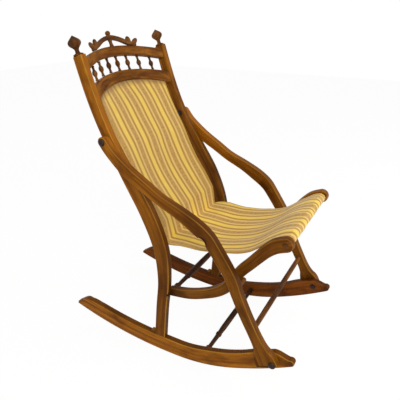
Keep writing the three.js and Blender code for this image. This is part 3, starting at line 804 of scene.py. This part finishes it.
def add_sides(node, board, inner, middle, looks, shade=None, cutter=None):
    """A board on each side of the chair, its inner face at the given distance from the middle plane.

    The left one is carved, and the right one is its mirror image.
    """
    verts, faces = board
    thick = verts[:, 0].max()
    left = make_object(f"{node}_left_finished", verts + np.array([inner, 0, 0]), faces)
    if cutter:
        boolean(left, cutter(), "DIFFERENCE")
    carved = [tuple(polygon.vertices) for polygon in left.data.polygons]
    right = make_object(f"{node}_right_finished", coordinates(left) * np.array([-1, 1, 1]), carved)
    for obj, side, look in zip((left, right), ("left", "right"), looks):
        points = coordinates(obj)
        if shade:
            set_attribute(obj, "shade", shade(points))
        # Painted highlight along the rounded edges
        set_attribute(obj, "painted_highlight", edge_highlight(points, inner, thick))
        strip_grain(obj, middle, inner)
        finish_piece(obj, f"{node}_{side}", look)


def walk(side, arcs):
    """Corners of the rocker's underside, from the level flat outward, with the way in from each."""
    length = FLAT_LENGTH / FINE_FLATS
    point = np.array([LEVEL_Y + side * FLAT_LENGTH / 2, 0.0])
    slope = 0.0
    corners = []
    for radius, flats in arcs:
        for _ in range(flats * FINE_FLATS):
            slope += length / radius / 2
            corners.append((point.copy(), np.array([-side * math.sin(slope), math.cos(slope)])))
            point += length * np.array([side * math.cos(slope), math.sin(slope)])
            slope += length / radius / 2
    return corners + [(point, np.array([-side * math.sin(slope), math.cos(slope)]))]


def rocker_edges():
    """The upper and lower edge of a rocker, from the nose to the tail."""
    corners = walk(-1, FRONT_ARCS)[::-1][NOSE_CUT:] + walk(1, REAR_ARCS)
    depths = [(share,) for share in NOSE_DEPTH_SHARES + TAIL_DEPTH_SHARES]
    last = len(corners) - 1
    low = np.array([point for point, _ in corners])
    stations = np.linspace(0, len(depths) - 1, last + 1)
    swells = NOSE_SWELL * np.sin(math.pi * np.minimum(stations, 1))
    swells += TAIL_SWELL * np.sin(math.pi * np.minimum(stations[::-1], 1))
    shares = [spline(depths, i / last)[0] + swell for i, swell in enumerate(swells)]
    high = [point + inward * ROCKER_DEPTH * share for (point, inward), share in zip(corners, shares)]
    return np.array(high), low


rocker_high, rocker_low = rocker_edges()


def rocker_top(y):
    return float(np.interp(y, rocker_high[:, 0], rocker_high[:, 1]))


rocker_board = board_mesh(*rounded_end(rocker_high, rocker_low, -1), STILE_THICK)
rocker_middle = (rocker_high + rocker_low) / 2


def rocker_shade(points):
    """Darker along the top edge and at the front tip."""
    tops = np.interp(points[:, 1], rocker_high[:, 0], rocker_high[:, 1])
    tip = points[:, 1] < rocker_high[0, 0] + EDGE_ROUND
    return ROCKER_SHADE * ((points[:, 2] > tops - EDGE_ROUND / 2) | tip)


add_sides("rocker", rocker_board, CLEAR_HALF, rocker_middle, ("red", "gold"), rocker_shade)

cleat_y = np.linspace(CLEAT_Y + CLEAT_LENGTH / 2, CLEAT_Y - CLEAT_LENGTH / 2, CLEAT_STEPS)
cleat_low = np.array([(y, rocker_top(y) + SEAT_GAP) for y in cleat_y])
cleat_swell = 1 - CLEAT_DROP_SHARE * (2 * (cleat_y - CLEAT_Y) / CLEAT_LENGTH) ** 4
cleat_high = cleat_low + np.stack([np.zeros(CLEAT_STEPS), CLEAT_HEIGHT * cleat_swell], 1)
cleat_board = board_mesh(cleat_low, cleat_high, STILE_THICK - 2 * EDGE_ROUND, SMALL_ROUND)
cleat_middle = (cleat_low + cleat_high) / 2
add_sides("foot_cleat", cleat_board, CLEAR_HALF + EDGE_ROUND, cleat_middle, ("brown", "brown"))

gallery_turn = Matrix.Translation(GALLERY_PLACE) @ Matrix.Rotation(-GALLERY_LEAN, 4, "X")
gallery_back = gallery_turn.inverted()


def stile_room(point):
    """Above zero between the rocker's top edge and the finial's seat."""
    above_rocker = point[1] - rocker_top(point[0]) - SEAT_GAP
    return min(above_rocker, STILE_TOP - (gallery_back @ Vector((0, *point))).z)


stile_left, stile_middle, stile_right = strip(STILE_SHARES, STILE_START, STILE_SPAN, TRIM_STEPS)
stile_board = board_mesh(trimmed(stile_left, stile_room), trimmed(stile_right, stile_room), STILE_THICK)


def notch_cutter():
    """The open notch at the front of a stile that the seat rod's pin turns in."""
    y, z = SEAT_PIVOT
    arc = np.linspace(-math.pi / 2, math.pi / 2, 2 * CAP_STEPS)
    outline = [(y + NOTCH_RADIUS * math.cos(turn), z + NOTCH_RADIUS * math.sin(turn)) for turn in arc]
    outline += [(y - NOTCH_REACH, z + way * NOTCH_RADIUS) for way in (1, -1)]
    near, far = CLEAR_HALF - NOTCH_REACH, CLEAR_HALF + STILE_THICK + NOTCH_REACH
    verts = [(x, *point) for x in (near, far) for point in outline]
    return make_object("notch_cutter", verts, ring_faces(2, len(outline)))


def stile_shade(points):
    """Painted shade: darker toward the foot, below the arm and seat, most of all at the front."""
    depth = np.abs(points[:, 0]) - CLEAR_HALF
    inner = depth < EDGE_ROUND / 2
    low = np.clip((GALLERY_PLACE[2] - points[:, 2]) / (GALLERY_PLACE[2] - SLING_BAR[1]), 0, 1)
    inset = EDGE_ROUND * FRONT_INSET_SHARE
    on_edge = (depth > inset) & (depth < STILE_THICK - inset)
    front = on_edge & (points[:, 1] < np.interp(points[:, 2], stile_middle[:, 1], stile_middle[:, 0]))
    outer = ~inner & ~front
    # Painted shade on the inner face and the front, and more weakly on the outer face, toward the foot
    return INNER_SHADE * inner * low + FRONT_SHADE * front * low + OUTER_SHADE * outer * low**2


add_sides("stile", stile_board, CLEAR_HALF, stile_middle, ("brown", "gold"), stile_shade, notch_cutter)

arm_left, arm_middle, arm_right = strip(ARM_SHARES, ARM_START, ARM_SPAN, 2 * STRIP_STEPS)
scoop_place = spline(arm_right, SCOOP_SHARE)
arm_board = board_mesh(*rounded_end(arm_left, arm_right, 1), ARM_THICK)


def scoop_cutter():
    """A round-bottomed scoop out of the arm's lower outer edge."""
    verts, faces = ball_mesh()
    place = Vector((ARM_INNER + ARM_THICK, *scoop_place))
    size = Matrix.Diagonal((*SCOOP_SIZE, 1))
    return make_object("scoop_cutter", placed(verts, Matrix.Translation(place) @ size), faces)


def arm_shade(points):
    """Painted shade: lighter at the rear end, darker from the bend down to the foot, and in the scoop."""
    reach = SHADE_REACH_SHARE * (ARM_PIVOT[0] - LEG_PIVOT[0])
    forward = np.clip((ARM_PIVOT[0] - points[:, 1]) / reach, 0, 1)
    from_scoop = np.linalg.norm(points[:, 1:] - scoop_place, axis=1)
    below_face = np.abs(points[:, 0]) < ARM_INNER + ARM_THICK - SMALL_ROUND
    # Painted shade down the leg, and in the scoop's hollow
    return LEG_SHADE * forward**2 + SCOOP_SHADE * ((from_scoop < SCOOP_SIZE[1]) & below_face)


add_sides("arm", arm_board, ARM_INNER, arm_middle, ("gold", "gold"), arm_shade, scoop_cutter)

rail_left, rail_middle, rail_right = strip(RAIL_SHARES, RAIL_START, RAIL_SPAN)
rail_board = board_mesh(*rounded_end(*rounded_end(rail_left, rail_right, 1), -1), RAIL_THICK)


def rail_shade(points):
    """Painted shadow of the legs and the stile: darker behind the legs, and darkest round the rod at the rear
    end.
    """
    behind = np.clip((points[:, 1] - RAIL_START[0]) / (SHADE_REACH_SHARE * RAIL_SPAN[0]), 0, 1)
    # Painted shadow behind the arm-legs, and of the stile round the rear end
    return RAIL_SHADE * behind + RAIL_END_SHADE * np.clip(points[:, 1] / RAIL_END_LENGTH + 1, 0, 1)


add_sides("seat_rail", rail_board, RAIL_INNER, rail_middle, ("brown", "brown"), rail_shade)


# Rods across the chair, pegs, pins and washers

def add_turned(name, profile, matrix, look, grain_axis=0):
    verts, faces = turned_mesh(profile)
    obj = make_object(f"{name}_finished", placed(verts, matrix), faces)
    axis_grain(obj, grain_axis)
    finish_piece(obj, name, look)


across_chair = Matrix.Rotation(math.pi / 2, 4, "Y")


def add_rod(name, place, half, radius, shares, tenon, look):
    """A turned rod across the chair, the same to both sides, with a tenon (radius, length) at each end."""
    side = smooth_profile([(along * half, wide * radius) for along, wide in shares])
    right = side + [(half, tenon[0]), (half + tenon[1], tenon[0])]
    left = [(-along, wide) for along, wide in reversed(right)]
    add_turned(name, left + right[1:], Matrix.Translation((0, *place)) @ across_chair, look)


stretcher_half = CLEAR_HALF - SEAT_GAP
leg_half = ARM_INNER - SEAT_GAP
rail_half = RAIL_INNER - SEAT_GAP
side_tenon = (TENON_RADIUS, TENON_DEPTH - SEAT_GAP)
bar_tenon = (SEAT_BAR_TENON, RAIL_THICK + 2 * SEAT_GAP)
seat_pin = (SEAT_PIN_RADIUS, CLEAR_HALF + SEAT_PIN_REACH - rail_half)
turned_rod = (TURNED_SHARES, "black")
plain_rod = (PLAIN_SHARES, "dark")
for name, place, half, radius, tenon, (shares, look) in [
    ("rocker_stretcher", ROCKER_STRETCHER, stretcher_half, ROCKER_STRETCHER_RADIUS, side_tenon, turned_rod),
    ("rear_sling_bar", SLING_BAR, stretcher_half, SLING_BAR_RADIUS, side_tenon, plain_rod),
    ("front_stretcher", FRONT_STRETCHER, leg_half, FRONT_STRETCHER_RADIUS, side_tenon, plain_rod),
    ("front_seat_bar", FRONT_BAR, rail_half, SEAT_BAR_RADIUS, bar_tenon, plain_rod),
    ("rear_seat_rod", SEAT_PIVOT, rail_half, SEAT_ROD_RADIUS, seat_pin, turned_rod),
]:
    add_rod(name, place, half, radius, shares, tenon, look)


def add_side_turned(node, profile, inner, place, look):
    """A turned piece on each side of the chair, from the given distance outward."""
    for name, side in ((f"{node}_left", 1), (f"{node}_right", -1)):
        turn = Matrix.Rotation(side * math.pi / 2, 4, "Y")
        add_turned(name, profile, Matrix.Translation((side * inner, *place)) @ turn, look)


rail_lean = unit(np.gradient(rail_middle, axis=0))[round(PEG_PLACE_SHARE * STRIP_STEPS)]
under_rail = np.array([rail_lean[1], -rail_lean[0]])
peg_place = spline(rail_right, PEG_PLACE_SHARE) + (PEG_RADIUS + SEAT_GAP) * under_rail
peg_length = ARM_INNER - RAIL_INNER + TENON_DEPTH - SEAT_GAP
peg_end = [(k * SMALL_ROUND / 2, share * PEG_RADIUS) for k, share in enumerate(PEG_END_SHARES)]
peg_profile = smooth_profile(peg_end + [(SMALL_ROUND, PEG_RADIUS), (peg_length, PEG_RADIUS)])
add_side_turned("seat_peg", peg_profile, RAIL_INNER, peg_place, "dark")

washer_start = CLEAR_HALF - SEAT_GAP - WASHER_THICK
pin_start = washer_start - SEAT_GAP - PIN_TAIL_HEIGHT
grip_length = ARM_INNER + ARM_THICK - CLEAR_HALF + WASHER_THICK + 3 * SEAT_GAP
head_start = PIN_TAIL_HEIGHT + grip_length
pin_tail = smooth_profile(
    [(0, PIN_TAIL_RADIUS / 2), (PIN_TAIL_HEIGHT / 2, PIN_TAIL_RADIUS), (PIN_TAIL_HEIGHT, PIN_TAIL_RADIUS)]
)
dome_places = [(head_start + rise * PIN_HEAD_HEIGHT, wide * PIN_HEAD_RADIUS) for rise, wide in DOME_SHARES]
pin_shank = [(PIN_TAIL_HEIGHT, PIN_RADIUS), (head_start, PIN_RADIUS)]
pin_profile = pin_tail + pin_shank + smooth_profile(dome_places)
washer_profile = [
    (0, PIN_RADIUS), (0, WASHER_RADIUS - WASHER_ROUND), (WASHER_ROUND, WASHER_RADIUS),
    (WASHER_THICK - WASHER_ROUND, WASHER_RADIUS), (WASHER_THICK, WASHER_RADIUS - WASHER_ROUND),
    (WASHER_THICK, PIN_RADIUS),
]
for joint, place in (("arm", ARM_PIVOT), ("rocker", LEG_PIVOT)):
    add_side_turned(f"{joint}_pin", pin_profile, pin_start, place, "iron")
    add_side_turned(f"{joint}_washer", washer_profile, washer_start, place, "iron")


# Back gallery, drawn upright in its own frame and leaned back with the stiles

def arch(heights, x):
    """The height at x of an arch with the given heights at its ends and its middle."""
    end, middle = heights
    return end + (middle - end) * (1 - (x / CLEAR_HALF) ** 2)


def bow_at(x):
    return arch((0, BOW_DEPTH), x)


def add_gallery_rail(name, high, low):
    """A rail that is bowed to the rear in plan and arched in the front view."""
    half = CLEAR_HALF - SEAT_GAP
    depth = GALLERY_THICK / 2 - GALLERY_ROUND
    verts = []
    for x in np.linspace(-half, half, GALLERY_STEPS + 1):
        slant = math.hypot(1, 2 * BOW_DEPTH * x / CLEAR_HALF**2)
        low_z, high_z = arch(low, x) + GALLERY_ROUND, arch(high, x) - GALLERY_ROUND
        for k, (y, z) in enumerate([(depth, high_z), (depth, low_z), (-depth, low_z), (-depth, high_z)]):
            for step in range(ROUND_STEPS + 1):
                turn = math.pi / 2 * (1 - k - step / ROUND_STEPS)
                rear = bow_at(x) + (y + GALLERY_ROUND * math.cos(turn)) * slant
                verts.append((x, rear, z + GALLERY_ROUND * math.sin(turn)))
    faces = ring_faces(GALLERY_STEPS + 1, 4 * (ROUND_STEPS + 1))
    obj = make_object(f"{name}_finished", placed(verts, gallery_turn), faces)
    upright = np.array([gallery_back @ Vector(point) for point in coordinates(obj)])
    level = upright[:, 2] - arch(low, upright[:, 0])
    set_grain(obj, np.stack([upright[:, 0], level, upright[:, 1]], 1))
    finish_piece(obj, name, "brown")


add_gallery_rail("crest_rail", CREST_HIGH, CREST_LOW)
add_gallery_rail("lower_back_rail", LOWER_HIGH, LOWER_LOW)


def add_gallery_turned(name, shares, place, length, radius):
    profile = smooth_profile([(along * length, wide * radius) for along, wide in shares])
    add_turned(name, profile, gallery_turn @ Matrix.Translation(place), "dark", grain_axis=2)


for i in range(1, SPINDLE_COUNT + 1):
    x = CLEAR_HALF * (2 * i / (SPINDLE_COUNT + 1) - 1)
    foot = arch(LOWER_HIGH, max(abs(x) - SPINDLE_END, 0)) + SEAT_GAP
    length = arch(CREST_LOW, abs(x) + SPINDLE_END) - SEAT_GAP - foot
    add_gallery_turned(f"spindle_{i}", SPINDLE_SHARES, (x, bow_at(x), foot), length, SPINDLE_RADIUS)

for name, side in (("finial_left", 1), ("finial_right", -1)):
    place = (side * (CLEAR_HALF + STILE_THICK / 2), 0, STILE_TOP + SEAT_GAP)
    add_gallery_turned(name, FINIAL_SHARES, place, FINIAL_HEIGHT, FINIAL_RADIUS)

post_foot = CREST_HIGH[1] + SEAT_GAP
post_length = CREST_FOOT + CREST_RISE - CREST_BAND / 2 - 3 * SEAT_GAP - post_foot
add_gallery_turned("crest_post", POST_SHARES, (0, BOW_DEPTH, post_foot), post_length, CREST_POST_RADIUS)
ball_place = (0, BOW_DEPTH, CREST_FOOT + CREST_RISE + CREST_BAND / 2 + SEAT_GAP)
add_gallery_turned("crest_ball", BALL_SHARES, ball_place, CREST_BALL_HEIGHT, CREST_BALL_RADIUS)


def add_crest_bow():
    """The carved bow on the crest rail, with two rounded lobes at each end."""
    left, _, right = strip(CREST_SHARES, (0, CREST_FOOT), (CREST_HALF, CREST_RISE, CREST_BAND))
    verts, faces = board_mesh(*rounded_end(*rounded_end(left, right, 1), -1), CREST_THICK)
    local = [(x, depth - CREST_THICK / 2, z) for depth, x, z in verts]
    obj = make_object("crest_bow_finished", local, faces)
    ball_verts, ball_faces = ball_mesh()
    for side in (-1, 1):
        for (reach, rise), size, lean in LOBES:
            place = Matrix.Translation((side * reach, 0, rise)) @ Matrix.Rotation(side * lean, 4, "Y")
            lobe = placed(ball_verts, place @ Matrix.Diagonal((*size, 1)))
            boolean(obj, make_object("lobe", lobe, ball_faces), "UNION")
    remesh = obj.modifiers.new("carve", "REMESH")
    remesh.mode = "VOXEL"
    remesh.voxel_size = CARVE_VOXEL
    smooth = obj.modifiers.new("soften", "SMOOTH")
    smooth.iterations = CARVE_SMOOTH
    apply_modifiers(obj)
    for vert in obj.data.vertices:
        x, y, z = vert.co
        seat = arch(CREST_HIGH, x) + SEAT_GAP
        vert.co = gallery_turn @ Vector((x, y + bow_at(x), max(z, seat)))
    axis_grain(obj, 0)
    finish_piece(obj, "crest_bow", "dark")


add_crest_bow()


# Sling

def back_place(across, down):
    """A place on the back of the sling: from under the lower rail, straightening to the rear bar."""
    halves = BACK_LEFT_HALVES if across > 0 else BACK_RIGHT_HALVES
    x = across * spline([(half,) for half in halves], down)[0]
    ahead = GALLERY_THICK / 2 - SEAT_GAP - CLOTH_SPACE / 2 - CLOTH_BEHIND
    top = gallery_turn @ Vector((x, bow_at(x) - ahead, arch(LOWER_LOW, x) - SEAT_GAP))
    foot_y = SLING_BAR[0] - SLING_BAR_RADIUS - CLOTH_SPACE / 2 - SEAT_GAP
    foot = Vector((x, foot_y, SLING_BAR[1]))
    knee = foot + Vector((0, KNEE_BEHIND, KNEE_RISE))
    middle = 1 - across**2
    edge_sag, middle_sag = spline(list(zip(BACK_EDGE_SAG, BACK_MIDDLE_SAG)), down / KNEE_SHARE)
    sag = edge_sag + (middle_sag - edge_sag) * middle + RIGHT_SAG * max(-across, 0) * math.sin(math.pi * down)
    if down > KNEE_SHARE:
        fall = (down - KNEE_SHARE) / (1 - KNEE_SHARE)
        return knee.lerp(foot, fall) + Vector((0, sag * (1 - fall), 0))
    return top.lerp(knee, down / KNEE_SHARE) + Vector((0, sag, 0))


seat_start = (SLING_BAR[0] - SLING_BAR_RADIUS - SEAT_GAP, SLING_BAR[1] - CLOTH_SPACE / 2 - SEAT_GAP)
wrap_radius = SEAT_BAR_RADIUS + SEAT_GAP + CLOTH_SPACE / 2
seat_reach = FRONT_BAR[0] - seat_start[0]
seat_rise = FRONT_BAR[1] + wrap_radius - seat_start[1]
seat_line = [(seat_start[0] + a * seat_reach, seat_start[1] + b * seat_rise) for a, b in SEAT_CLOTH_SHARES]
for i in range(WRAP_STEPS + 1):
    angle = WRAP_START + WRAP_TURN * i / WRAP_STEPS
    ahead, above = wrap_radius * math.cos(angle), wrap_radius * math.sin(angle)
    seat_line.append((FRONT_BAR[0] + ahead, FRONT_BAR[1] + above))


def ripple(across, down):
    """Slight unevenness of hung cloth, nothing at its ends."""
    waves = [height * math.sin(a * across + b * down + start) for height, a, b, start in RIPPLE_WAVES]
    return RIPPLE * math.sqrt(math.sin(math.pi * down)) * sum(waves)


def sling_grid():
    """Rows of places down the sling, each from the sitter's right to the left, and how far down they lie."""
    rows = []
    shares = np.linspace(-1, 1, CLOTH_COLUMNS + 1)
    for down in np.linspace(0, 1, BACK_ROWS + 1):
        row = [back_place(across, down) for across in shares]
        rows.append([place + Vector((0, -ripple(a, down), 0)) for place, a in zip(row, shares)])
    for down in np.linspace(0, 1, SEAT_ROWS + 1)[1:]:
        y, z = spline(seat_line, down)
        left, right = (np.interp(y, SEAT_PLACES, halves) for halves in (SEAT_LEFT_HALVES, SEAT_RIGHT_HALVES))
        lift = np.interp(y, LIFT_PLACES, EDGE_LIFTS) if down < SEAT_OPEN_SHARE else 0
        rows.append([(a * (left if a > 0 else right), y, z + lift * a**2 + ripple(a, down)) for a in shares])
    grid = np.array([[tuple(place) for place in row] for row in rows])
    steps = np.linalg.norm(np.diff(grid[:, CLOTH_COLUMNS // 2], axis=0), axis=1)
    lengths = np.concatenate([[0], np.cumsum(steps)])
    return grid, lengths


def add_sling():
    """The sling as one closed sheet, with a hem along each side, that bends between back and seat."""
    grid, lengths = sling_grid()
    down_way = np.gradient(grid, axis=0)
    across_way = np.gradient(grid, axis=1)
    outward = unit(np.cross(down_way, across_way))
    edge = np.minimum(grid[:, -1:, 0] - grid[:, :, 0], grid[:, :, 0] - grid[:, :1, 0])
    hem = HEM_THICK * (edge < HEM_WIDTH)[:, :, None]
    front = grid + outward * CLOTH_THICK / 2
    back = grid - outward * (CLOTH_THICK / 2 + hem)
    rows, columns = grid.shape[:2]
    count = rows * columns
    flat = np.stack([grid[:, :, 0], np.repeat(lengths[:, None], columns, 1), edge], 2)
    faces = []
    for i in range(rows - 1):
        for j in range(columns - 1):
            a = i * columns + j
            faces.append((a, a + columns, a + columns + 1, a + 1))
            faces.append((count + a, count + a + 1, count + a + columns + 1, count + a + columns))
    for i in range(rows - 1):
        for a in (i * columns, i * columns + columns - 1):
            faces.append((a, a + columns, count + a + columns, count + a))
    for j in range(columns - 1):
        for a in (j, (rows - 1) * columns + j):
            faces.append((a, a + 1, count + a + 1, count + a))
    verts = np.vstack([front.reshape(-1, 3), back.reshape(-1, 3)])
    obj = make_object("sling", verts, faces)
    set_attribute(obj, "weave", np.vstack([flat.reshape(-1, 3)] * 2))
    cover(obj, striped_cloth)
    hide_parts("back_sling", "seat_sling")
    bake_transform(obj)


add_sling()


# Floor, light and camera
WHITE = (1, 1, 1)
FLOOR_SIZE = 6.0
FLOOR_ROUGHNESS = 0.9
FLOOR_GLOW = 0.93
WORLD_LIGHT = 0.62
LAMPS = [("key", (-2.2, -1.6, 2.6), 1.6, 70), ("fill", (1.2, -2.4, 1.8), 2.0, 30)]
LAMP_TARGET = (0, 0, 0.4)


def seen_share(tree):
    """1 for rays that show a thing, straight or in a gloss, and 0 for rays that only light it."""
    rays = build(tree, "ShaderNodeLightPath").outputs
    return calculate(tree, "MAXIMUM", rays["Is Camera Ray"], rays["Is Glossy Ray"])


def add_floor():
    """A floor that looks as white as the world behind it, and takes soft shadows."""
    verts = [(x * FLOOR_SIZE, y * FLOOR_SIZE, 0) for x, y in ((-1, -1), (1, -1), (1, 1), (-1, 1))]
    floor = make_object("floor", verts, [(0, 1, 2, 3)])
    floor.location.z = -SEAT_GAP
    material, tree, shader = new_material("pale_floor")
    set_surface(tree, shader, Base_Color=WHITE, Roughness=FLOOR_ROUGHNESS)
    glow = build(tree, "ShaderNodeEmission", Color=WHITE, Strength=1.0)
    share = times(tree, seen_share(tree), FLOOR_GLOW)
    mixed = build(tree, "ShaderNodeMixShader", Fac=share)
    tree.links.new(shader.outputs[0], mixed.inputs[1])
    tree.links.new(glow.outputs[0], mixed.inputs[2])
    tree.links.new(mixed.outputs[0], tree.nodes["Material Output"].inputs["Surface"])
    floor.data.materials.append(material)


def add_world():
    """A white world, dimmer as a light than as it is seen."""
    world = bpy.data.worlds.new("studio")
    bpy.context.scene.world = world
    world.use_nodes = True
    tree = world.node_tree
    background = tree.nodes["Background"]
    connect(tree, background.inputs["Color"], WHITE)
    strength = remap(tree, seen_share(tree), 0.0, 1.0, WORLD_LIGHT, 1.0)
    connect(tree, background.inputs["Strength"], strength)


def add_lamp(name, place, size, power):
    data = bpy.data.lights.new(name, "AREA")
    data.shape = "SQUARE"
    data.size = size
    data.energy = power
    lamp = link_object(name, data)
    lamp.location = place
    lamp.rotation_mode = "QUATERNION"
    lamp.rotation_quaternion = (Vector(LAMP_TARGET) - Vector(place)).to_track_quat("-Z", "Y")


# The photograph's camera, as fitted to points of both side frames
CAMERA_PLACE = (-1.0685, -0.566, 0.970)
CAMERA_FORWARD = Vector((0.8057, 0.4340, -0.4030))
CAMERA_UP = Vector((0.3548, 0.1911, 0.9152))
SENSOR_WIDTH = 36.0
CAMERA_LENS = 39.35


def add_camera():
    data = bpy.data.cameras.new("camera")
    data.sensor_width = SENSOR_WIDTH
    data.lens = CAMERA_LENS
    camera = link_object("camera", data)
    back = -CAMERA_FORWARD.normalized()
    right = CAMERA_UP.cross(back).normalized()
    turn = Matrix((right, back.cross(right), back)).transposed()
    camera.matrix_world = Matrix.Translation(CAMERA_PLACE) @ turn.to_4x4()
    bpy.context.scene.camera = camera


add_floor()
add_world()
for lamp in LAMPS:
    add_lamp(*lamp)
add_camera()
bpy.context.scene.view_settings.view_transform = "Standard"
